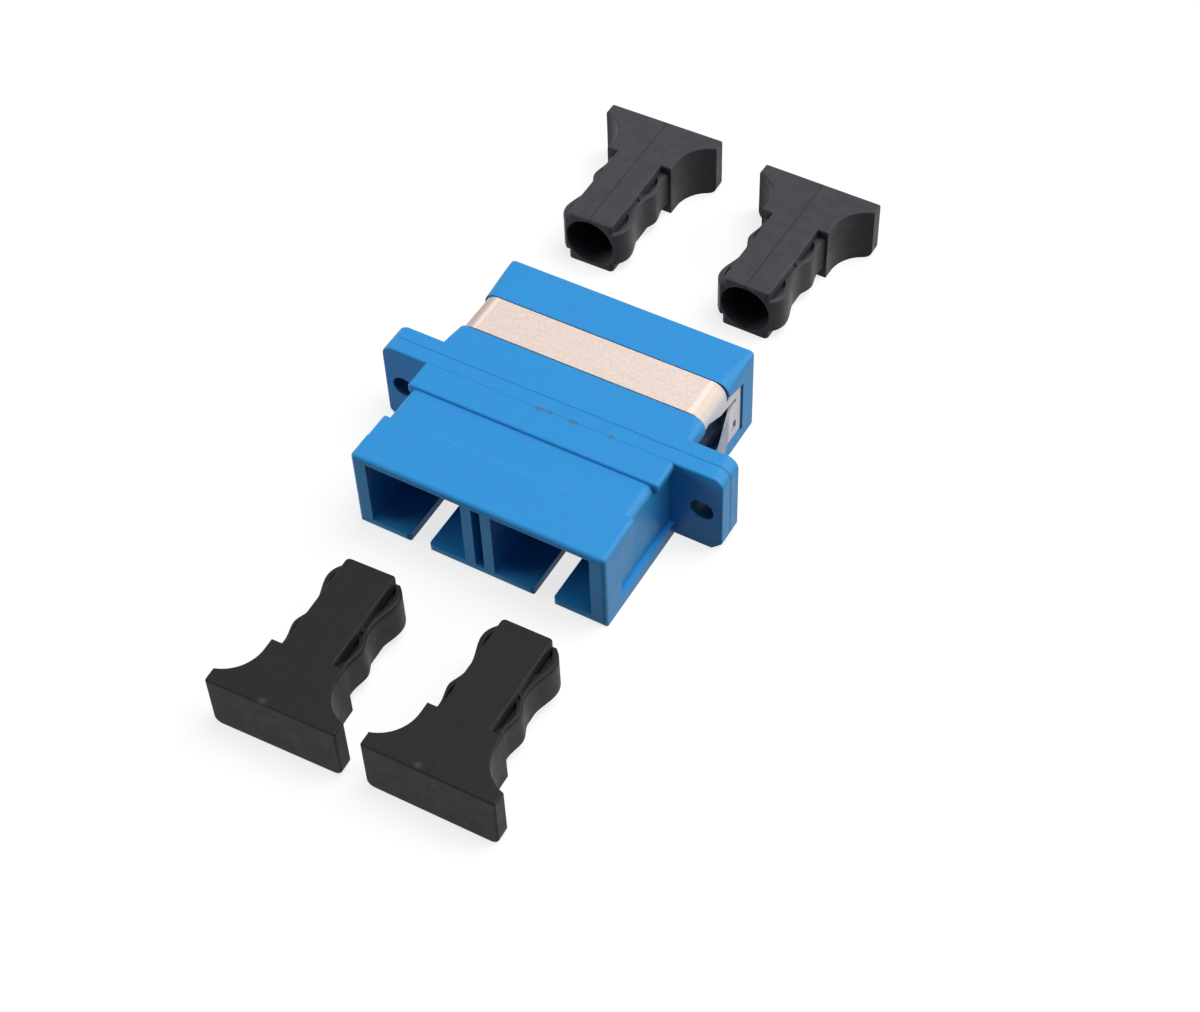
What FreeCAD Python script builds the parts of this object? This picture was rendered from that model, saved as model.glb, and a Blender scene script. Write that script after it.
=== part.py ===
import FreeCAD
import Part
import math
import os

# SC duplex fibre adapter with a screw flange, a sheet steel panel clip and four dust plugs that
# lie beside it, taken out of its ports. Millimetres.
# The origin is on the bottom face, under the plane where the two housing halves meet, midway
# between the two ports. +Y runs along the ports, +Z is up, and -Y is the front.

# Ports and housing
adapter_length = 27.4
port_pitch = 12.7
port_width = 9.7
port_height = 7.4
side_wall = 1.5
floor_thickness = 0.9
roof_thickness = 0.95
edge_radius = 0.4
rear_root_radius = 0.3
rear_strip_radius = 1.6
rear_end_radius = 0.45
cut_over = 1.0

# Flange: one ear at each side, with a screw hole
ear_width = 4.7
flange_thickness = 3.1
flange_corner_radius = 1.2
flange_bottom_chamfer = 1.0
flange_edge_radius = 0.2
parting_groove = 0.06
screw_offset = 2.7
screw_hole_diameter = 2.3

# Front half: rim at the mouth, a slightly lower and narrower waist, and a collar at the flange.
# Their sides lean inwards down to one ledge. An inset is measured in from the body's full width.
rim_length = 5.25
rim_side_length = 2.7
rim_drop = 0.25
rim_head_inset = 0.04
waist_length = 4.0
waist_drop = 0.1
waist_ramp = 0.25
waist_head_inset = 0.45
waist_foot_inset = 0.5
waist_edge_radius = 0.75
ledge_height = 1.35
collar_drop = 0.05
collar_lip_height = 1.2

# Mouths: keyways in the floor and a blind recess in the web between the ports
keyway_width = 2.0
keyway_length = 8.5
keyway_mouth_radius = 0.4
web_recess_width = 0.9
web_recess_length = 6.5

# Pins that line the two halves up
pin_diameter = 1.2
pin_length = 1.0
pin_offset = 1.5
pin_rise = 2.7
pin_clearance = 0.06

# Latch inserts: base plate, barrel and two hooked arms
insert_plate_thickness = 1.45
insert_margin_x = 0.6
insert_margin_z = 0.35
insert_clearance = 0.05
barrel_diameter = 4.9
barrel_reach = 7.4
barrel_chamfer = 0.3
arm_thickness = 0.75
arm_height = 3.6
arm_wall_gap = 0.25
arm_root_radius = 0.5
hook_reach = 8.2
hook_length = 1.3
hook_gap = 6.4
hook_tip_thickness = 0.45

# Split sleeves
sleeve_length = 11.4
sleeve_diameter = 3.2
ferrule_bore = 2.5
sleeve_slit = 0.5
sleeve_clearance = 0.05
ferrule_hole = 2.9
ferrule_lead_in = 0.35

# Spring clip, folded from one strip of sheet. A drop is measured down from the housing's top.
clip_thickness = 0.3
clip_width = 4.3
clip_setback = 2.7
clip_bend_radius = 1.4
clip_sink = 0.2
clip_gap = 0.12
leg_setback = 0.75
leg_length = 9.0
leg_bottom = 1.25
leg_front_drop = 1.85
leg_strip_drop = 1.55
leg_rear_drop = 2.3
leg_corner_radius = 0.35
front_bar = 0.9
rear_bar = 0.85
bottom_bar = 1.05
top_bar = 0.3
window_peak_setback = 2.0
window_peak_drop = 1.65
window_bend_setback = 4.3
window_bend_drop = 2.75
window_rear_drop = 3.2
relief_width = 0.35
relief_drop = 2.0
tongue_root_length = 0.85
tongue_root_bottom = 3.3
tongue_bottom = 2.65
tongue_drop = 3.6
tongue_flare = 1.9
tongue_curl = 0.25
panel_gap = 1.75
window_pocket_depth = 0.55

# Dust plugs: handle plate, concave neck and a nose that the latch hooks hold
plug_width = 12.5
plug_wall = 0.37
plug_length = 16.24
plug_plate_thickness = 1.4
plug_shoulder_width = 7.14
plug_shoulder_reach = 6.05
plug_flare_radius = 3.6
plug_core_width = 4.9
plug_core_corner_radius = 0.4
plug_lug_height = 4.0
plug_lug_radius = 0.3
plug_waist_clearance = 0.15
plug_waist_length = 2.3
plug_root_swell = 0.25
plug_root_lug_swell = 0.38
plug_root_lug_setback = 1.0
plug_tip_lug_swell = 0.45
plug_tip_lug_setback = 1.5
plug_pocket_width = 0.55
plug_pocket_depth = 0.6
plug_pocket_margin = 0.4
plug_rib_thickness = 0.45
plug_rib_inset = 0.3
plug_tip_swell = 0.2
plug_seat_gap = 0.6
plug_bore_clearance = 0.13
plug_bore_depth = 7.2
plug_plate_radius = 0.8
plug_edge_radius = 0.2

# Where the plugs lie: the middle of the plate's outer face, and the turn about +Z
plug_places = {
    "dust_plug_front_left": (-5.04, -37.52),
    "dust_plug_front_right": (9.64, -36.83),
    "dust_plug_rear_left": (-11.08, 40.81),
    "dust_plug_rear_right": (6.76, 39.83),
}
plug_turn_degrees = {
    "dust_plug_front_left": 2.3,
    "dust_plug_front_right": 1.1,
    "dust_plug_rear_left": 180.6,
    "dust_plug_rear_right": 179.4,
}

# Worked out from the sizes above
half_length = adapter_length / 2
body_width = port_pitch + port_width + 2 * side_wall
half_body = body_width / 2
port_floor = floor_thickness
port_ceiling = port_floor + port_height
axis_height = port_floor + port_height / 2
body_height = port_ceiling + roof_thickness
port_centres = (-port_pitch / 2, port_pitch / 2)
flange_half = flange_thickness / 2
rim_height = body_height - rim_drop
rim_start = half_length - rim_length
collar_end = rim_start - waist_length
clip_front = flange_half + clip_setback
clip_rear = clip_front + clip_width
clip_seat = body_height - clip_thickness
rim_side_start = half_length - rim_side_length
waist_height = rim_height - waist_drop
waist_head = half_body - waist_head_inset
collar_height = body_height - collar_drop
leg_outside = half_body - clip_sink
leg_inside = leg_outside - clip_thickness
leg_front = flange_half + leg_setback
leg_rear = leg_front + leg_length
leg_front_top = body_height - leg_front_drop
leg_strip_top = body_height - leg_strip_drop
leg_rear_top = body_height - leg_rear_drop
window_front = leg_front + front_bar
window_rear = leg_rear - rear_bar
window_bottom = leg_bottom + bottom_bar
window_front_top = leg_front_top - top_bar
window_rear_top = body_height - window_rear_drop
tongue_root = window_rear - tongue_root_length
tongue_top = body_height - tongue_drop
plug_bore_diameter = barrel_diameter + 2 * plug_bore_clearance
plug_height = plug_bore_diameter + 2 * plug_wall
plug_waist = hook_gap / 2 - plug_waist_clearance
plug_tip = plug_core_width / 2 + plug_tip_swell
far = 100.0


def vec(x, y, z):
    return FreeCAD.Vector(x, y, z)


def block(x0, x1, y0, y1, z0, z1):
    """A box between two corners."""
    return Part.makeBox(x1 - x0, y1 - y0, z1 - z0, vec(x0, y0, z0))


def rod(x, z, diameter, y0, y1):
    """A cylinder along Y."""
    return Part.makeCylinder(diameter / 2, y1 - y0, vec(x, y0, z), vec(0, 1, 0))


def prism(points, push):
    """The closed outline through the points, pushed along a vector."""
    outline = Part.makePolygon([vec(*p) for p in points] + [vec(*points[0])])
    return Part.Face(outline).extrude(vec(*push))


def edges_where(shape, test):
    """The edges whose two ends and middle all pass the test."""
    found = []
    for edge in shape.Edges:
        middle = edge.valueAt((edge.FirstParameter + edge.LastParameter) / 2)
        if all(test(p) for p in [v.Point for v in edge.Vertexes] + [middle]):
            found.append(edge)
    return found


def near(a, b):
    return abs(a - b) < 1e-4


def front_to_back(shape):
    """Turns a half that was built with its mouth towards +Y to face -Y."""
    return shape.mirror(vec(0, 0, 0), vec(0, 1, 0))


def left_to_right(shape):
    return shape.mirror(vec(0, 0, 0), vec(1, 0, 0))


# Housing halves. Each is built with its parting face at y = 0 and its mouths towards +Y.

def soft_block(y0, y1, height, first_radius, last_radius):
    """A block of the body's width. Its long top edges are rounded from one radius to another."""
    body = block(-half_body, half_body, y0, y1, 0, height)
    top = edges_where(body, lambda p: near(p.z, height) and near(abs(p.x), half_body))
    body = body.makeFillet(first_radius, last_radius, top)
    end = edges_where(body, lambda p: near(p.y, half_length))
    return body.makeFillet(edge_radius, end) if end else body


def flange():
    """Half of the flange: round top corners, cut bottom corners and a relieved parting edge."""
    half = half_body + ear_width
    plate = block(-half, half, 0, flange_half, 0, body_height)
    corners = edges_where(plate, lambda p: near(abs(p.x), half) and near(p.z, body_height))
    plate = plate.makeFillet(flange_corner_radius, corners)
    feet = edges_where(plate, lambda p: near(abs(p.x), half) and near(p.z, 0))
    plate = plate.makeChamfer(flange_bottom_chamfer, feet)
    seam = edges_where(plate, lambda p: near(p.y, 0) and p.z > 1e-3)
    plate = plate.makeChamfer(parting_groove, seam)
    rim = edges_where(plate, lambda p: near(p.y, flange_half) and p.z > 1e-3)
    return plate.makeFillet(flange_edge_radius, rim)


def front_outside():
    """Collar, waist and rim of the front half."""
    barrel = soft_block(flange_half / 2, half_length, rim_height, edge_radius, edge_radius)
    rim_core = leaning_bar(rim_height, edge_radius, rim_head_inset, waist_foot_inset)
    barrel = barrel.cut(relief(rim_side_start, rim_core))
    waist_core = leaning_bar(waist_height, waist_edge_radius, waist_head_inset, waist_foot_inset)
    waist_core = waist_core.fuse(waist_end_ramp())
    return barrel.cut(relief(rim_start, waist_core)).fuse(collar())


def relief(y1, core):
    """What is taken off above the ledge, from the flange to y1, down to a core."""
    zone = block(-far, far, 0, y1, ledge_height, far)
    return zone.cut(core)


def leaning_bar(height, radius, head_inset, foot_inset):
    """A bar along the half, narrower at its foot, with rounded top edges."""
    head = half_body - head_inset
    foot = half_body - foot_inset
    outline = [(-foot, 0, 0), (foot, 0, 0), (head, 0, height), (-head, 0, height)]
    bar = prism(outline, (0, half_length, 0))
    top = edges_where(bar, lambda p: near(abs(p.x), head) and near(p.z, height))
    return bar.makeFillet(radius, top)


def collar():
    """The band that stands up next to the flange, with a lip that hangs over each side."""
    half = half_body - edge_radius
    foot = collar_height - collar_lip_height
    outline = [(-half_body, 0, foot + edge_radius), (-half, 0, foot), (half, 0, foot),
               (half_body, 0, foot + edge_radius), (half_body, 0, collar_height),
               (-half_body, 0, collar_height)]
    band = prism(outline, (0, collar_end, 0))
    top = edges_where(band, lambda p: near(abs(p.x), half_body) and near(p.z, collar_height))
    band = band.makeFillet(edge_radius, top)
    end = edges_where(band, lambda p: near(p.y, collar_end) and p.z > foot + edge_radius / 2)
    band = band.makeFillet(edge_radius / 2, end)
    return band.cut(block(-far, far, -cut_over, flange_half / 2, 0, far))


def waist_end_ramp():
    """The slope from the waist's top up to the rim's."""
    x = waist_head - waist_edge_radius
    outline = [(-x, rim_start - waist_ramp, waist_height), (-x, rim_start, rim_height),
               (-x, rim_start, waist_height - waist_drop),
               (-x, rim_start - waist_ramp, waist_height - waist_drop)]
    return prism(outline, (2 * x, 0, 0))


def rear_outside():
    """Barrel of the rear half, roundest under the strip, with the seats of the clip cut in."""
    middle = (clip_front + clip_rear) / 2
    root = soft_block(flange_half / 2, middle, body_height, rear_root_radius, rear_strip_radius)
    end = soft_block(middle, half_length, body_height, rear_strip_radius, rear_end_radius)
    barrel = root.fuse(end).removeSplitter()
    return barrel.cut(strip_groove()).cut(leg_recesses())


def strip_groove():
    """The groove across the top and round both corners that the clip's strip lies in."""
    zone = block(-far, far, clip_front - clip_gap, clip_rear + clip_gap, leg_front_top, far)
    return zone.cut(clip_inside(0, half_length))


def clip_inside(y0, y1):
    """A solid block that fills the clip up to the strip's underside, from z = 0."""
    core = block(-leg_inside, leg_inside, y0, y1, 0, clip_seat)
    top = edges_where(core, lambda p: near(abs(p.x), leg_inside) and near(p.z, clip_seat))
    return core.makeFillet(clip_bend_radius - clip_thickness, top)


def leg_recesses():
    """The shallow recesses that hold the clip's legs, with a deeper pocket behind each window."""
    gap = clip_gap
    outline = [
        (leg_inside, flange_half / 2, leg_bottom - gap),
        (leg_inside, leg_rear + gap, leg_bottom - gap),
        (leg_inside, leg_rear + gap, leg_rear_top + gap),
        (leg_inside, clip_rear + gap, leg_strip_top + gap),
        (leg_inside, clip_front - gap, leg_front_top + gap),
        (leg_inside, flange_half / 2, leg_front_top + gap),
    ]
    recess = prism(outline, (far, 0, 0))
    pocket = block(leg_inside - window_pocket_depth, leg_inside + gap, window_front, window_rear,
                   window_bottom, window_rear_top)
    side = recess.fuse(pocket)
    return side.fuse(left_to_right(side))


def port_space(x):
    """The space inside one port, with the wider seat of the insert's plate at the parting face."""
    port = block(x - port_width / 2, x + port_width / 2, 0, far, port_floor, port_ceiling)
    half = port_width / 2 + insert_margin_x
    seat = block(x - half, x + half, -cut_over, insert_plate_thickness,
                 port_floor - insert_margin_z, port_ceiling + insert_margin_z)
    return port.fuse(seat)


def keyway(x):
    """A slot through the port's floor, open at the mouth, where its two corners are rounded."""
    half = keyway_width / 2
    r = keyway_mouth_radius
    slot = block(x - half, x + half, half_length - keyway_length, half_length,
                 -cut_over, axis_height)
    flare = block(x - half - r, x + half + r, half_length - r, half_length,
                  -cut_over, port_floor)
    for side in (-1, 1):
        post = Part.makeCylinder(r, far, vec(x + side * (half + r), half_length - r, -far / 2))
        flare = flare.cut(post)
    return slot.fuse(flare)


def web_recess():
    """The narrow blind recess in the mouth end of the web between the ports."""
    half = web_recess_width / 2
    return block(-half, half, half_length - web_recess_length, far, port_floor, port_ceiling)


def screw_holes():
    x = half_body + screw_offset
    return [rod(side * x, axis_height, screw_hole_diameter, -cut_over, flange_half + cut_over)
            for side in (-1, 1)]


def housing(outside, pin_side):
    """One half: its outside and flange, less the ports, keyways, recess, holes and pin sockets."""
    body = outside.fuse(flange())
    for x in port_centres:
        body = body.cut(port_space(x)).cut(keyway(x))
    body = body.cut(web_recess())
    for hole in screw_holes():
        body = body.cut(hole)
    x = pin_side * (half_body + pin_offset)
    rise = pin_side * pin_rise
    body = body.cut(socket(-x, axis_height - rise))
    return body.fuse(pin(x, axis_height + rise)).removeSplitter()


def pin(x, z):
    """A pin on the parting face, with a chamfered end that goes into the other half's socket."""
    stud = rod(x, z, pin_diameter, -pin_length, flange_half / 2)
    end = edges_where(stud, lambda p: near(p.y, -pin_length))
    return stud.makeChamfer(pin_diameter / 6, end[:1])


def socket(x, z):
    return rod(x, z, pin_diameter + 2 * pin_clearance, -cut_over, pin_length + pin_clearance)


def housing_front():
    return front_to_back(housing(front_outside(), 1))


def housing_rear():
    return housing(rear_outside(), -1)


# Latch inserts, one behind each port's mouth. They are built facing +Y, on the port's own axis.

def insert_plate():
    half = port_width / 2 + insert_margin_x - insert_clearance
    rise = port_height / 2 + insert_margin_z - insert_clearance
    plate = block(-half, half, 0, insert_plate_thickness, -rise, rise)
    corners = edges_where(plate, lambda p: near(abs(p.x), half) and near(abs(p.z), rise))
    return plate.makeFillet(edge_radius, corners)


def insert_barrel():
    """The tube round the sleeve, with a chamfered end."""
    barrel = rod(0, 0, barrel_diameter, 0, barrel_reach)
    end = edges_where(barrel, lambda p: near(p.y, barrel_reach))
    return barrel.makeChamfer(barrel_chamfer, end[:1])


def insert_bore():
    """The sleeve's seat, the narrower hole in front of it, and the lead-in at the mouth."""
    seat_end = sleeve_length / 2 + sleeve_clearance
    seat = rod(0, 0, sleeve_diameter + 2 * sleeve_clearance, -cut_over, seat_end)
    hole = rod(0, 0, ferrule_hole, 0, barrel_reach + cut_over)
    lead = Part.makeCone(ferrule_hole / 2, ferrule_hole / 2 + ferrule_lead_in, ferrule_lead_in,
                         vec(0, barrel_reach - ferrule_lead_in, 0), vec(0, 1, 0))
    return seat.fuse(hole).fuse(lead)


def hook_arm():
    """One arm at the +X side: thick root, straight arm and a hook with a sloped nose."""
    outer = port_width / 2 - arm_wall_gap
    inner = outer - arm_thickness
    catch = hook_gap / 2
    catch_y = hook_reach - hook_length
    slope_y = hook_reach - hook_length / 2
    root = insert_plate_thickness
    r = arm_root_radius
    outline = [
        (outer, root / 2), (outer, hook_reach), (outer - hook_tip_thickness, hook_reach),
        (catch, slope_y), (catch, catch_y), (inner, catch_y),
        (inner, root + r), (inner - r, root), (inner - r, root / 2),
    ]
    return prism([(x, y, -arm_height / 2) for x, y in outline], (0, 0, arm_height))


def latch_insert(x):
    body = insert_plate().fuse(insert_barrel())
    arm = hook_arm()
    body = body.fuse(arm).fuse(left_to_right(arm)).cut(insert_bore()).removeSplitter()
    body.translate(vec(x, 0, axis_height))
    return body


def alignment_sleeve(x):
    """A ceramic tube with one slit along it, lying in the barrels of two facing inserts."""
    half = sleeve_length / 2
    tube = rod(0, 0, sleeve_diameter, -half, half).cut(rod(0, 0, ferrule_bore, -far, far))
    slit = block(-sleeve_slit / 2, sleeve_slit / 2, -far, far, 0, sleeve_diameter)
    tube = tube.cut(slit)
    tube.translate(vec(x, 0, axis_height))
    return tube


# Spring clip

def clip_strip():
    """The strip over the top, bent down at both sides as far as the legs."""
    body = block(-leg_outside, leg_outside, clip_front, clip_rear, 0, body_height)
    corners = edges_where(body, lambda p: near(abs(p.x), leg_outside) and near(p.z, body_height))
    body = body.makeFillet(clip_bend_radius, corners)
    below = block(-far, far, clip_front, clip_rear, 0, leg_strip_top - leg_corner_radius)
    return body.cut(clip_inside(0, clip_rear)).cut(below)


def clip_leg():
    """The +X leg: a plate wider than the strip."""
    x = leg_inside
    outline = [
        (x, leg_front, leg_bottom), (x, leg_rear, leg_bottom), (x, leg_rear, leg_rear_top),
        (x, clip_rear, leg_strip_top), (x, clip_front, leg_strip_top),
        (x, clip_front, leg_front_top), (x, leg_front, leg_front_top),
    ]
    plate = prism(outline, (clip_thickness, 0, 0))
    corners = edges_where(plate, lambda p: leg_corner(p.y, p.z))
    return plate.makeFillet(leg_corner_radius, corners)


def leg_corner(y, z):
    """The plate's four outer corners."""
    low = near(z, leg_bottom) and (near(y, leg_front) or near(y, leg_rear))
    return low or (near(y, leg_rear) and near(z, leg_rear_top))


def leg_window():
    """The window in the +X leg and the relief slit where the strip's rear edge leaves the plate."""
    x = leg_inside - cut_over
    push = (clip_thickness + 2 * cut_over, 0, 0)
    outline = [
        (x, window_front, window_bottom),
        (x, window_rear, window_bottom),
        (x, window_rear, window_rear_top),
        (x, window_front + window_bend_setback, body_height - window_bend_drop),
        (x, window_front + window_peak_setback, body_height - window_peak_drop),
        (x, window_front, window_front_top),
    ]
    slit = block(x, x + push[0], clip_rear, clip_rear + relief_width, body_height - relief_drop, far)
    return prism(outline, push).fuse(slit)


def tongue():
    """The tongue left in the window: a flat root on the rear bar, then the part that springs out."""
    tip = flange_half + panel_gap
    run = tongue_root - tip
    bend = tip + run / 8
    rise = tongue_flare / run * (tongue_root - bend)
    lift = tongue_flare - tongue_curl
    t = clip_thickness
    root = block(leg_inside, leg_outside, tongue_root, window_rear + t, tongue_root_bottom, tongue_top)
    outline = [
        (leg_inside, tongue_root + t), (leg_outside, tongue_root + t), (leg_outside, tongue_root),
        (leg_outside + rise, bend), (leg_outside + lift, tip), (leg_inside + lift, tip),
        (leg_inside + rise, bend), (leg_inside, tongue_root),
    ]
    spring = prism([(x, y, tongue_bottom) for x, y in outline], (0, 0, tongue_top - tongue_bottom))
    return root.fuse(spring)


def spring_clip():
    """Strip and legs in one, then the windows cut and the tongues set in them."""
    leg = clip_leg()
    clip = clip_strip().fuse(leg).fuse(left_to_right(leg))
    window = leg_window()
    clip = clip.cut(window).cut(left_to_right(window))
    spring = tongue()
    return clip.fuse(spring).fuse(left_to_right(spring)).removeSplitter()


# Dust plugs. A plug is built lying on z = 0 with its plate at y = 0 and its nose towards +Y.

def plug_handle():
    """The plate and the concave neck that narrows from it to the shoulder."""
    half = plug_width / 2
    shoulder = plug_shoulder_width / 2
    r = plug_flare_radius
    t = plug_plate_thickness
    turn = t + math.sqrt(r ** 2 - (shoulder + r - half) ** 2)
    middle = math.radians(225)
    hollow = Part.Arc(vec(half, t, 0),
                      vec(shoulder + r + r * math.cos(middle), turn + r * math.sin(middle), 0),
                      vec(shoulder, turn, 0))
    outline = [
        Part.makeLine(vec(0, 0, 0), vec(half, 0, 0)),
        Part.makeLine(vec(half, 0, 0), vec(half, t, 0)),
        hollow.toShape(),
        Part.makeLine(vec(shoulder, turn, 0), vec(shoulder, plug_shoulder_reach, 0)),
        Part.makeLine(vec(shoulder, plug_shoulder_reach, 0), vec(0, plug_shoulder_reach, 0)),
        Part.makeLine(vec(0, plug_shoulder_reach, 0), vec(0, 0, 0)),
    ]
    side = Part.Face(Part.Wire(outline)).extrude(vec(0, 0, plug_height))
    feet = edges_where(side, lambda p: near(p.x, half) and near(p.z, 0))
    side = side.makeFillet(plug_plate_radius, feet)
    rims = edges_where(side, lambda p: near(p.z, plug_height))
    rims += edges_where(side, lambda p: near(p.y, 0))
    rims = [edge for edge in rims if edge.BoundBox.XMax > 1e-3]
    side = side.makeFillet(plug_edge_radius, rims)
    return side.fuse(left_to_right(side))


def plug_core():
    """The straight bar that runs the whole length, flush with the plate's top and bottom."""
    half = plug_core_width / 2
    bar = block(-half, half, plug_plate_thickness, plug_length, 0, plug_height)
    corners = edges_where(bar, lambda p: near(abs(p.x), half) and near(p.y, plug_length))
    bar = bar.makeFillet(plug_core_corner_radius, corners)
    rims = edges_where(bar, lambda p: near(p.z, plug_height))
    rims = [edge for edge in rims if edge.BoundBox.YMax > plug_shoulder_reach]
    return bar.makeFillet(plug_edge_radius, rims)


def plug_lugs():
    """Both lugs and the waist between them: a wavy outline with upright walls."""
    half_height = plug_lug_height / 2
    side = nose_side()
    other = left_to_right(side)
    root = plug_waist + plug_root_swell
    base = Part.makeLine(vec(-root, plug_shoulder_reach, 0), vec(root, plug_shoulder_reach, 0))
    end = Part.makeLine(vec(-plug_tip, plug_length, 0), vec(plug_tip, plug_length, 0))
    outline = Part.Wire(Part.__sortEdges__([base, side, end, other]))
    body = Part.Face(outline).extrude(vec(0, 0, plug_lug_height))
    body.translate(vec(0, 0, -half_height))
    rims = edges_where(body, lambda p: near(abs(p.z), half_height))
    rims = [edge for edge in rims if edge.BoundBox.YMax > plug_shoulder_reach + 1e-3]
    body = body.makeFillet(plug_lug_radius, rims)
    body = body.cut(plug_pockets()).fuse(plug_rib())
    body.translate(vec(0, 0, plug_height / 2))
    return body


def nose_side():
    """The nose's outline at the +X side, from the shoulder to the end."""
    seat = plug_hook_seat()
    seat_end = seat + plug_waist_length
    curve = Part.BSplineCurve()
    curve.interpolate([
        vec(plug_waist + plug_root_swell, plug_shoulder_reach, 0),
        vec(plug_waist + plug_root_swell, (plug_shoulder_reach + seat) / 2, 0),
        vec(plug_waist + plug_root_lug_swell, seat - plug_root_lug_setback, 0),
        vec(plug_waist, seat, 0),
        vec(plug_waist, seat_end, 0),
        vec(plug_waist + plug_tip_lug_swell, seat_end + plug_tip_lug_setback, 0),
        vec(plug_tip, plug_length, 0),
    ])
    return curve.toShape()


def plug_pockets():
    """The crescent pockets beside the core, in the top and bottom of each lug."""
    seat = plug_hook_seat()
    seat_end = seat + plug_waist_length
    margin = plug_pocket_margin
    pocket = crescent(plug_shoulder_reach + 2 * margin, seat - margin / 2)
    pocket = pocket.fuse(crescent(seat_end + margin, plug_length - margin))
    pocket = pocket.fuse(pocket.mirror(vec(0, 0, 0), vec(0, 0, 1)))
    return pocket.fuse(left_to_right(pocket))


def crescent(y0, y1):
    """A pocket that is widest half way and opens upwards."""
    edge = plug_core_width / 2
    inside = edge - plug_pocket_width
    floor = plug_lug_height / 2 - plug_pocket_depth
    bow = Part.Arc(vec(edge, y0, floor), vec(edge + plug_pocket_width, (y0 + y1) / 2, floor),
                   vec(edge, y1, floor)).toShape()
    rest = Part.makePolygon([vec(edge, y1, floor), vec(inside, y1, floor), vec(inside, y0, floor),
                             vec(edge, y0, floor)])
    return Part.Face(Part.Wire([bow] + rest.Edges)).extrude(vec(0, 0, plug_lug_height))


def plug_rib():
    """The web across the waist between the two pockets. It slopes from the core to the waist."""
    y = plug_hook_seat() + plug_pocket_margin / 2
    core = plug_core_width / 2
    high = plug_height / 2 - plug_rib_inset
    low = plug_lug_height / 2 - plug_rib_inset
    foot = plug_waist - plug_rib_inset
    outline = [(-core, y, high), (core, y, high), (foot, y, low), (foot, y, -low),
               (core, y, -high), (-core, y, -high), (-foot, y, -low), (-foot, y, low)]
    return prism(outline, (0, plug_rib_thickness, 0))


def plug_hook_seat():
    """Where the waist starts when the plug is pushed home and the hooks drop into it."""
    pushed_to = insert_plate_thickness + plug_seat_gap
    return plug_length + pushed_to - hook_reach


def plug_shape():
    bore = rod(0, plug_height / 2, plug_bore_diameter,
               plug_length - plug_bore_depth, plug_length + cut_over)
    body = plug_handle().fuse(plug_core()).fuse(plug_lugs()).cut(bore)
    return body.removeSplitter()


def dust_plug(name):
    x, y = plug_places[name]
    plug = plug_shape()
    plug.rotate(vec(0, 0, 0), vec(0, 0, 1), plug_turn_degrees[name])
    plug.translate(vec(x, y, 0))
    return plug


def build_parts():
    left, right = port_centres
    parts = {
        "housing_front": housing_front(),
        "housing_rear": housing_rear(),
        "latch_insert_front_left": front_to_back(latch_insert(left)),
        "latch_insert_front_right": front_to_back(latch_insert(right)),
        "latch_insert_rear_left": latch_insert(left),
        "latch_insert_rear_right": latch_insert(right),
        "alignment_sleeve_left": alignment_sleeve(left),
        "alignment_sleeve_right": alignment_sleeve(right),
        "spring_clip": spring_clip(),
    }
    for name in plug_places:
        parts[name] = dust_plug(name)
    return parts


os.makedirs("parts", exist_ok=True)
for name, shape in build_parts().items():
    solid = shape.Solids[0] if len(shape.Solids) == 1 else shape
    solid.exportStep("parts/" + name + ".step")
    print(name, len(shape.Solids), "solid", "valid" if shape.isValid() else "INVALID",
          round(shape.Volume, 3), "mm3")
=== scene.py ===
import math

import bpy
import numpy as np
from mathutils import Matrix, Vector

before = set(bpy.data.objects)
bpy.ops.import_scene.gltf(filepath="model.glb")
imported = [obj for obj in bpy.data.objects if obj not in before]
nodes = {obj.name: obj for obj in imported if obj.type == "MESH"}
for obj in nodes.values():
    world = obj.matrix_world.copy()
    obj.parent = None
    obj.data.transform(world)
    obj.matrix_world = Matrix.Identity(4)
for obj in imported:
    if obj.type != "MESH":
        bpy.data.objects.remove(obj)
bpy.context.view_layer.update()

# Blue housing
# Two halves, injection moulded in blue nylon-like plastic from a finely spark-eroded mould and
# welded together along the flange.

housing_blue = (0.027, 0.237, 0.602)
housing_shade = (0.021, 0.250, 0.584)
housing_rough = 0.42
housing_grain = 0.00001

# Noise scales are in cycles per metre, so a cloud is about a millimetre across.
cloud_scale = 900.0
cloud_detail = 4.0
cloud_range = (0.38, 0.62)
gloss_detail = 2.0
noise_range = (0.3, 0.7)
smoother, rougher = 0.04, 0.05
grain_scale = 9000.0
grain_detail = 3.0
mark_core = 0.3
recess_shade_edge = 0.00004


def new_material(name):
    """A material, its node tree and its Principled shader."""
    material = bpy.data.materials.new(name)
    material.use_nodes = True
    tree = material.node_tree
    return material, tree, tree.nodes["Principled BSDF"]


def object_place(tree):
    """Where a point lies on the object's own axes, in metres."""
    return tree.nodes.new("ShaderNodeTexCoord").outputs["Object"]


def noise(tree, place, scale, detail=2.0):
    """Noise from 0 to 1 over a place, at a scale in cycles per metre."""
    texture = tree.nodes.new("ShaderNodeTexNoise")
    texture.inputs["Scale"].default_value = scale
    texture.inputs["Detail"].default_value = detail
    tree.links.new(place, texture.inputs["Vector"])
    return texture.outputs["Fac"]


def spread(tree, value, start, end, first=0.0, last=1.0):
    """A value stretched in a straight line, from first at the start to last at the end."""
    ramp = tree.nodes.new("ShaderNodeMapRange")
    ramp.inputs["From Min"].default_value = start
    ramp.inputs["From Max"].default_value = end
    ramp.inputs["To Min"].default_value = first
    ramp.inputs["To Max"].default_value = last
    tree.links.new(value, ramp.inputs["Value"])
    return ramp.outputs["Result"]


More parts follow.
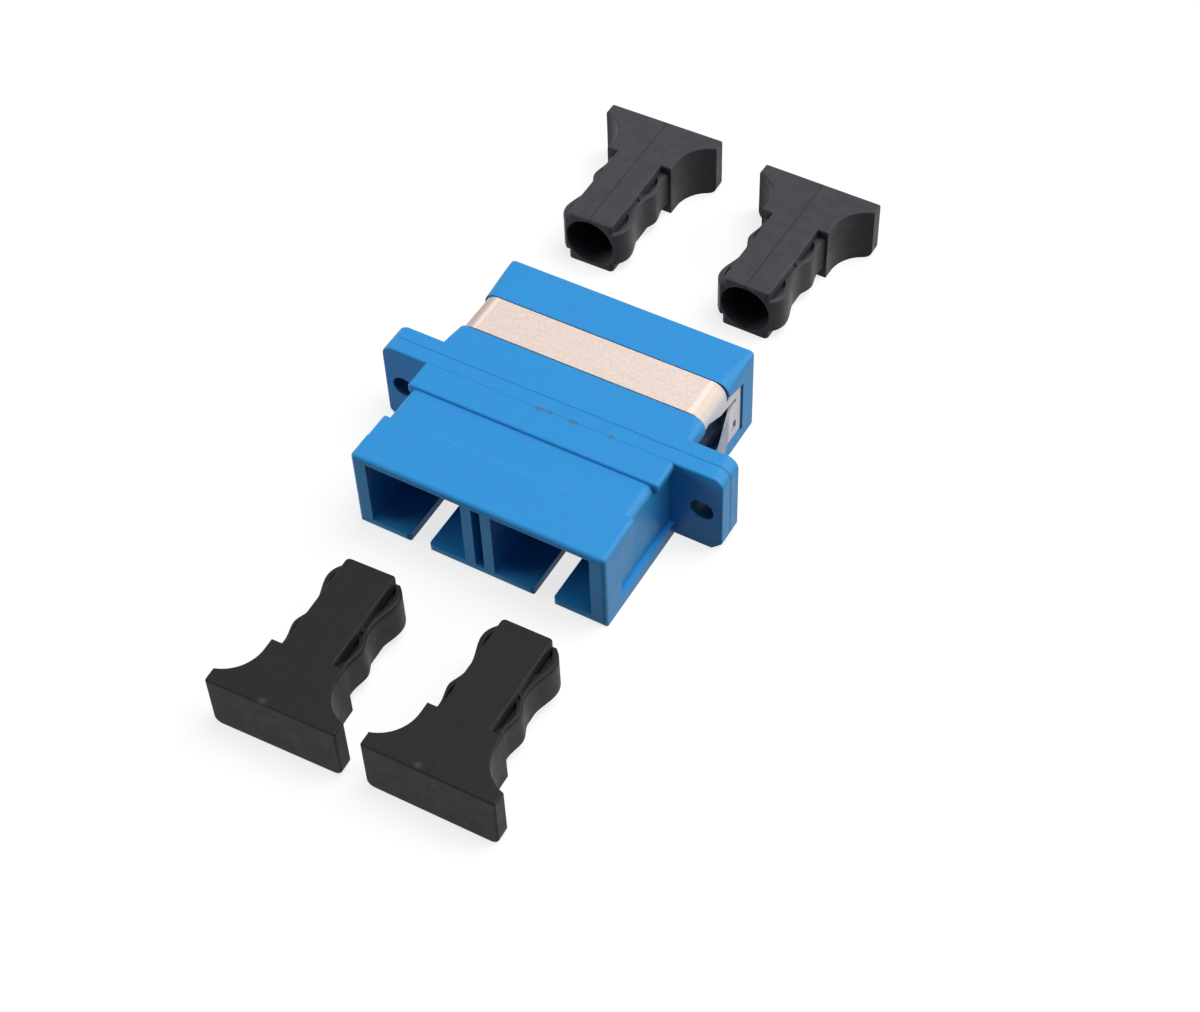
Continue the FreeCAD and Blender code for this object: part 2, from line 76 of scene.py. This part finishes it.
def number_step(tree, operation, one, other=None):
    """One step of arithmetic on one number or on two, each read from a socket."""
    node = tree.nodes.new("ShaderNodeMath")
    node.operation = operation
    tree.links.new(one, node.inputs[0])
    if other is not None:
        tree.links.new(other, node.inputs[1])
    return node.outputs[0]


def vector_step(tree, operation, vector, fixed=None):
    """One step of arithmetic on a vector, with a fixed one as the second where it is given."""
    node = tree.nodes.new("ShaderNodeVectorMath")
    node.operation = operation
    tree.links.new(vector, node.inputs[0])
    if fixed is not None:
        node.inputs[1].default_value = fixed
    return node.outputs


def axes(tree, vector):
    """The three parts of a vector, by their letters."""
    split = tree.nodes.new("ShaderNodeSeparateXYZ")
    tree.links.new(vector, split.inputs["Vector"])
    return split.outputs


def blend_colour(tree, share, one, other):
    """A colour between two, each fixed or read from a socket, by a share from 0 to 1."""
    mix = tree.nodes.new("ShaderNodeMix")
    mix.data_type = "RGBA"
    tree.links.new(share, mix.inputs["Factor"])
    for socket, colour in ((mix.inputs["A"], one), (mix.inputs["B"], other)):
        if isinstance(colour, tuple):
            socket.default_value = (*colour, 1.0)
        else:
            tree.links.new(colour, socket)
    return mix.outputs["Result"]


def bump(tree, height, distance):
    """A bump from a height of 0 to 1 over a real distance in metres."""
    node = tree.nodes.new("ShaderNodeBump")
    node.inputs["Strength"].default_value = 1.0
    node.inputs["Distance"].default_value = distance
    tree.links.new(height, node.inputs["Height"])
    return node.outputs["Normal"]


def moulded_plastic(name, colour, shade, rough, grain_depth, shine=0.2):
    """Plastic from an eroded mould: fine grain, faint clouds of colour and of gloss."""
    material, tree, shader = new_material(name)
    shader.inputs["Specular IOR Level"].default_value = shine
    place = object_place(tree)
    clouds = spread(tree, noise(tree, place, cloud_scale, cloud_detail), *cloud_range)
    tree.links.new(blend_colour(tree, clouds, colour, shade), shader.inputs["Base Color"])
    gloss = noise(tree, place, cloud_scale, gloss_detail)
    tree.links.new(spread(tree, gloss, *noise_range, rough - smoother, rough + rougher),
                   shader.inputs["Roughness"])
    grain = noise(tree, place, grain_scale, grain_detail)
    tree.links.new(bump(tree, grain, grain_depth), shader.inputs["Normal"])
    return material


def paint_over(material, share, colour):
    """Blends a colour over what a material has as its base colour so far."""
    tree = material.node_tree
    base = tree.nodes["Principled BSDF"].inputs["Base Color"]
    so_far = base.links[0].from_socket
    tree.links.new(blend_colour(tree, share, so_far, colour), base)


def stain(material, marks, colour):
    """Paints soft round marks, each full in its core and gone at its radius."""
    tree = material.node_tree
    place = object_place(tree)
    for centre, radius in marks:
        away = vector_step(tree, "DISTANCE", place, centre)["Value"]
        paint_over(material, spread(tree, away, mark_core * radius, radius, 1.0, 0.0), colour)


def paint_recess_shade(material, centre, half_size, colour):
    """Paints shade on the walls of a recess that lies on both sides of the middle.

    With the coordinates made positive, one box stands for both sides. Its share is the least
    of three, one for each axis, that fall to 0 at the box's half size from its centre.
    """
    tree = material.node_tree
    mirrored = vector_step(tree, "ABSOLUTE", object_place(tree))["Vector"]
    off_centre = vector_step(tree, "SUBTRACT", mirrored, centre)["Vector"]
    away = axes(tree, vector_step(tree, "ABSOLUTE", off_centre)["Vector"])
    in_x, in_y, in_z = [spread(tree, away[axis], half - recess_shade_edge, half, 1.0, 0.0)
                        for axis, half in zip("XYZ", half_size)]
    inside = number_step(tree, "MINIMUM", number_step(tree, "MINIMUM", in_x, in_y), in_z)
    paint_over(material, inside, colour)


def dress(material, *names):
    """Puts a material on CAD nodes, whose shapes stay as they are."""
    for name in names:
        node = nodes[name]
        if not node.data.materials:
            node.data.materials.append(material)
        for slot in node.material_slots:
            slot.material = material


# The weld's brown marks, each with its centre and radius, and then the painted shade in the
# recesses, each with its centre, its half size and the dark colour painted as shade on its
# walls.
weld_marks = [
    ((-0.0009, -0.0016, 0.0092), 0.00036), ((-0.0004, -0.0015, 0.0092), 0.00024),
    ((0.0003, -0.0015, 0.0092), 0.00036), ((0.0025, -0.0015, 0.0092), 0.00040),
    ((0.0029, -0.0014, 0.0092), 0.00028), ((0.0064, -0.0014, 0.0092), 0.00034),
]
weld_brown = (0.055, 0.160, 0.300)
screw_hole_shade = ((0.0154, 0.0, 0.0046), (0.00118, 0.00142, 0.00118), (0.010, 0.085, 0.210))
clip_recess_shade = ((0.01190, 0.0064, 0.0043), (0.00045, 0.0052, 0.0034), (0.008, 0.045, 0.120))

front_plastic = moulded_plastic("blue moulded plastic", housing_blue, housing_shade,
                                housing_rough, housing_grain)
stain(front_plastic, weld_marks, weld_brown)
# Painted shade on the walls of the screw holes.
paint_recess_shade(front_plastic, *screw_hole_shade)
dress(front_plastic, "housing_front")

rear_plastic = moulded_plastic("blue plastic of the rear half", housing_blue, housing_shade,
                               housing_rough, housing_grain)
# Painted shade on the walls of the clip's recesses and of the screw holes.
paint_recess_shade(rear_plastic, *clip_recess_shade)
paint_recess_shade(rear_plastic, *screw_hole_shade)
dress(rear_plastic, "housing_rear")

# Latch inserts
# One insert behind each mouth holds the barrel and the two sprung hooks. They are moulded in the
# same blue plastic, with a smoother skin, and are trapped between the halves.

insert_rough = 0.36
insert_grain = 0.000003
smooth_blue = moulded_plastic("smooth blue plastic", housing_blue, housing_shade,
                              insert_rough, insert_grain)
dress(smooth_blue, *[name for name in nodes if name.startswith("latch_insert")])

# Alignment sleeves
# A split tube of white zirconia in each port, which floats in the barrels of two inserts. It is
# ground and polished, so its gloss changes only faintly.

zirconia_white = (0.80, 0.79, 0.74, 1.0)
grinding_scale = 6000.0
zirconia_gloss = (0.12, 0.22)
zirconia, zirconia_tree, zirconia_shader = new_material("ground zirconia")
zirconia_shader.inputs["Base Color"].default_value = zirconia_white
grinding = noise(zirconia_tree, object_place(zirconia_tree), grinding_scale)
zirconia_tree.links.new(spread(zirconia_tree, grinding, *noise_range, *zirconia_gloss),
                        zirconia_shader.inputs["Roughness"])
dress(zirconia, *[name for name in nodes if name.startswith("alignment_sleeve")])

# Spring clip
# One strip of rolled stainless spring steel, stamped and folded over the housing, with a sprung
# tongue at each side that holds the adapter in a panel.

rolling_scale = 6000.0
rolling_detail = 4.0
rolling_stretch = (0.06, 1.0, 0.06)
rolling_depth = 0.000002
mottle_scale = 4200.0
mottle_detail = 3.0
mottle_range = (0.32, 0.68)
strip_tones = ((0.58, 0.455, 0.43), (0.44, 0.415, 0.375))
steel_gloss = (0.63, 0.73)

# Painted light on the steel, from where each tone starts to where it is full, by distance from
# the middle: a painted highlight at the start of the bend, and painted shade on the rest of the
# bend, on the leg's face and on the tongue that springs out.
steel_painted_light = [
    (0.01070, 0.01105, (0.60, 0.515, 0.475)),
    (0.01110, 0.01150, (0.42, 0.37, 0.34)),
    (0.0121, 0.0124, (0.45, 0.45, 0.50)),
    (0.0126, 0.0131, (0.22, 0.24, 0.30)),
]

steel, steel_tree, steel_shader = new_material("rolled spring steel")
steel_shader.inputs["Metallic"].default_value = 1.0
steel_place = object_place(steel_tree)
stretched = steel_tree.nodes.new("ShaderNodeMapping")
stretched.inputs["Scale"].default_value = rolling_stretch
steel_tree.links.new(steel_place, stretched.inputs["Vector"])
rolled = noise(steel_tree, stretched.outputs["Vector"], rolling_scale, rolling_detail)
mottle = noise(steel_tree, steel_place, mottle_scale, mottle_detail)
strip_steel = blend_colour(steel_tree, spread(steel_tree, mottle, *mottle_range), *strip_tones)
steel_tree.links.new(strip_steel, steel_shader.inputs["Base Color"])
from_middle = number_step(steel_tree, "ABSOLUTE", axes(steel_tree, steel_place)["X"])
# Painted highlight and painted shade laid over the steel's own tones.
for start, full, tone in steel_painted_light:
    paint_over(steel, spread(steel_tree, from_middle, start, full), tone)
steel_tree.links.new(spread(steel_tree, rolled, *noise_range, *steel_gloss),
                     steel_shader.inputs["Roughness"])
steel_tree.links.new(bump(steel_tree, rolled, rolling_depth), steel_shader.inputs["Normal"])
dress(steel, "spring_clip")

# Dust plugs
# Four black plugs moulded in soft polyethylene from an eroded mould, each with a parting line
# along its middle. They lie where they were put down, pulled out of their ports.

# Where the middle of each plug's wide end lies, and how far the plug is turned, in degrees.
plug_lie = {
    "dust_plug_front_left": (-0.00504, -0.03752, 2.3),
    "dust_plug_front_right": (0.00964, -0.03683, 1.1),
    "dust_plug_rear_left": (-0.01108, 0.04081, 180.6),
    "dust_plug_rear_right": (0.00676, 0.03983, 179.4),
}
front_black = (0.0100, 0.0092, 0.0122)
# Same plastic as the front plugs, painted lighter: a painted sheen from the light behind.
rear_black_painted_sheen = (0.043, 0.044, 0.053)
cloud_darkness = 0.86
plug_rough = 0.50
plug_grain = 0.000012
plug_shine = 0.15
line_black = (0.003, 0.003, 0.004)
line_half_width = 0.00010
line_share = 0.7
gate_marks = [((-0.00584, -0.03725, 0.0058), 0.00045), ((0.00862, -0.03640, 0.0058), 0.00045)]
gate_grey = (0.036, 0.038, 0.036)


def parting_line(material, x, y, turn):
    """Darkens a hairline along the middle of a plug that lies at x and y, turned by degrees."""
    tree = material.node_tree
    own = tree.nodes.new("ShaderNodeMapping")
    own.vector_type = "TEXTURE"
    own.inputs["Location"].default_value = (x, y, 0.0)
    own.inputs["Rotation"].default_value = (0.0, 0.0, math.radians(turn))
    tree.links.new(object_place(tree), own.inputs["Vector"])
    across = number_step(tree, "ABSOLUTE", axes(tree, own.outputs["Vector"])["X"])
    line = spread(tree, across, 0.0, line_half_width, line_share, 0.0)
    paint_over(material, line, line_black)


for name, (x, y, turn) in plug_lie.items():
    in_front = "front" in name
    # The rear plugs take the lighter black, a painted sheen.
    black = front_black if in_front else rear_black_painted_sheen
    shade = tuple(cloud_darkness * part for part in black)
    black_plastic = moulded_plastic("black plastic of " + name, black, shade,
                                    plug_rough, plug_grain, plug_shine)
    parting_line(black_plastic, x, y, turn)
    if in_front:
        stain(black_plastic, gate_marks, gate_grey)
    dress(black_plastic, name)

# Table
# A plain white sheet that the adapter and its plugs lie on, which keeps their shadows. It glows
# a little more further out, so that it stays white to the edge of a view.

table_half = 1.5
paper_in_light = (0.08, 0.08, 0.08)
paper_seen = (0.25, 0.25, 0.25)
glow_white = (1.0, 1.0, 1.0, 1.0)
glow_distances = (0.06, 0.30)
glow_levels = (0.76, 1.0)


def seen_share(tree):
    """1 for what the camera sees, or a glossy or clear skin shows, and 0 for what lights it."""
    rays = tree.nodes.new("ShaderNodeLightPath").outputs
    mirrored = number_step(tree, "MAXIMUM", rays["Is Camera Ray"], rays["Is Glossy Ray"])
    return number_step(tree, "MAXIMUM", mirrored, rays["Is Transmission Ray"])


corners = np.array([[-1, -1, 0], [1, -1, 0], [1, 1, 0], [-1, 1, 0]], float) * table_half
table_mesh = bpy.data.meshes.new("table")
table_mesh.from_pydata(corners.tolist(), [], [(0, 1, 2, 3)])
table = bpy.data.objects.new("table", table_mesh)
bpy.context.scene.collection.objects.link(table)
paper, paper_tree, paper_shader = new_material("white table")
paper_shader.inputs["Roughness"].default_value = 1.0
paper_shader.inputs["Specular IOR Level"].default_value = 0.0
paper_shader.inputs["Emission Color"].default_value = glow_white
seen = seen_share(paper_tree)
paper_tree.links.new(blend_colour(paper_tree, seen, paper_in_light, paper_seen),
                     paper_shader.inputs["Base Color"])
far_out = vector_step(paper_tree, "LENGTH", object_place(paper_tree))["Value"]
glow = spread(paper_tree, far_out, *glow_distances, *glow_levels)
paper_tree.links.new(number_step(paper_tree, "MULTIPLY", seen, glow),
                     paper_shader.inputs["Emission Strength"])
table_mesh.materials.append(paper)

# Light
# A large soft light from above and behind, a warmer one low at the right and a smaller one low
# at the left. The room is dim, but looks white where it is seen or mirrored.

room_dim = 0.09
room_white = 1.0


def soft_light(name, place, size, watts, colour):
    """A square soft light that faces the middle of the adapter."""
    lamp = bpy.data.lights.new(name, "AREA")
    lamp.shape = "SQUARE"
    lamp.size = size
    lamp.energy = watts
    lamp.color = colour
    light = bpy.data.objects.new(name, lamp)
    bpy.context.scene.collection.objects.link(light)
    light.location = place
    light.rotation_mode = "QUATERNION"
    light.rotation_quaternion = (-Vector(place)).to_track_quat("-Z", "Y")


soft_light("top light", place=(0.20, 0.17, 0.74), size=0.6, watts=6.45, colour=(1.0, 1.0, 1.0))
soft_light("right light", place=(0.60, 0.50, 0.28), size=0.6, watts=3.9,
           colour=(1.0, 0.88, 0.70))
soft_light("left light", place=(-0.76, -0.38, 0.22), size=0.4, watts=3.6,
           colour=(1.0, 0.96, 0.88))

room = bpy.data.worlds.new("white room")
bpy.context.scene.world = room
room.use_nodes = True
room_tree = room.node_tree
walls = room_tree.nodes["Background"]
walls.inputs["Color"].default_value = (1.0, 1.0, 1.0, 1.0)
room_tree.links.new(spread(room_tree, seen_share(room_tree), 0.0, 1.0, room_dim, room_white),
                    walls.inputs["Strength"])

# Camera
# Where the photograph was taken from, above and to the front right. Its place, aim, roll and
# lens come from a fit to points of the photograph.

camera_place = Vector((0.0750038, -0.1151381, 0.1567852))
camera_aim = Vector((0.0055712, -0.0023727, 0.0004639))
camera_roll = math.radians(2.475)
camera_lens = 68.742
camera_sensor = 36.0

film = bpy.data.cameras.new("camera")
film.sensor_width = camera_sensor
film.lens = camera_lens
film.clip_start = 0.01
film.clip_end = 10.0
camera = bpy.data.objects.new("camera", film)
bpy.context.scene.collection.objects.link(camera)
look = (camera_aim - camera_place).normalized()
level_right = look.cross(Vector((0, 0, 1))).normalized()
level_down = look.cross(level_right)
right = math.cos(camera_roll) * level_right + math.sin(camera_roll) * level_down
down = math.cos(camera_roll) * level_down - math.sin(camera_roll) * level_right
camera.matrix_world = Matrix.Translation(camera_place) @ Matrix(
    (right, -down, -look)).transposed().to_4x4()
bpy.context.scene.camera = camera
bpy.context.scene.view_settings.view_transform = "Standard"
